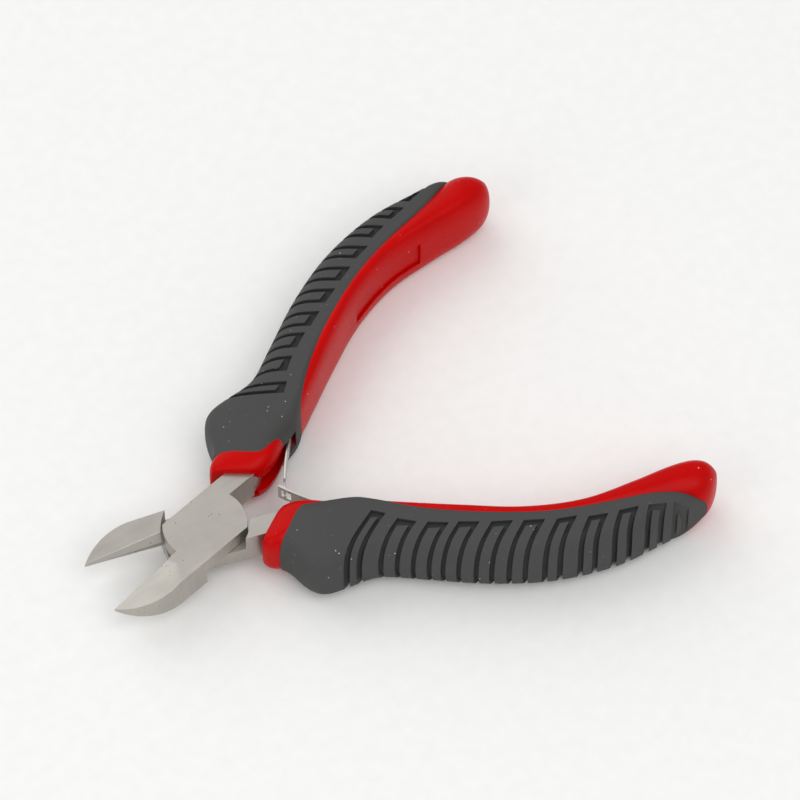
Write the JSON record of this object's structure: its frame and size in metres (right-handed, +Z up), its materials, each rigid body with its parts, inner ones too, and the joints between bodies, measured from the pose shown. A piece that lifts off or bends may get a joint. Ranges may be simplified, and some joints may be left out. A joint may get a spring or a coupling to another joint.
{
  "type": "hand_tool",
  "caption": "Small diagonal cutting nippers with a flush rivet joint, sprung open by two interlocking leaves, and bowed two-colour grips.",
  "frame": {"origin": "middle of the open nippers' bounding box, on the ground they lie on", "axes": "+X from the jaws to the handles, +Z up out of the flat of the head, +Y towards the upper half's handle"},
  "size_m": [0.11, 0.09, 0.014],
  "materials": {
    "head_steel": "satin",
    "red_plastic": "gloss",
    "grey_rubber": "matte",
    "spring_steel": "satin"
  },
  "bodies": {
    "lower_half": {"lower_jaw_half": "head_steel", "lower_grip_core": "red_plastic", "lower_grip_sleeve": "grey_rubber", "lower_spring_pin": "spring_steel"},
    "upper_half": {"upper_jaw_half": "head_steel", "pivot_rivet": "head_steel", "upper_grip_core": "red_plastic", "upper_grip_sleeve": "grey_rubber", "upper_spring_pin": "spring_steel"},
    "tongue_leaf": {"tongue_spring_leaf": "spring_steel"},
    "window_leaf": {"window_spring_leaf": "spring_steel"}
  },
  "joints": [
    {"name": "head_pivot", "type": "hinge", "parent": "lower_half", "child": "upper_half", "pos_m": [-0.03236, 0, 0.007], "axis": [0, 0, -1], "range_deg": [0, 27.4], "stiffness_Nm_per_rad": 0.2, "springref_deg": -28.65},
    {"name": "tongue_leaf_root", "type": "hinge", "parent": "upper_half", "child": "tongue_leaf", "pos_m": [-0.00322, 0.01472, 0.007], "axis": [0, 0, -1], "range_deg": [0, 14.3]},
    {"name": "window_leaf_root", "type": "hinge", "parent": "lower_half", "child": "window_leaf", "pos_m": [-0.00322, -0.01472, 0.007], "axis": [0, 0, 1], "range_deg": [0, 14.3]}
  ],
  "couplings": [
    {"joint": "tongue_leaf_root", "follows": "head_pivot", "ratio": 0.5169},
    {"joint": "window_leaf_root", "follows": "head_pivot", "ratio": 0.5169}
  ]
}
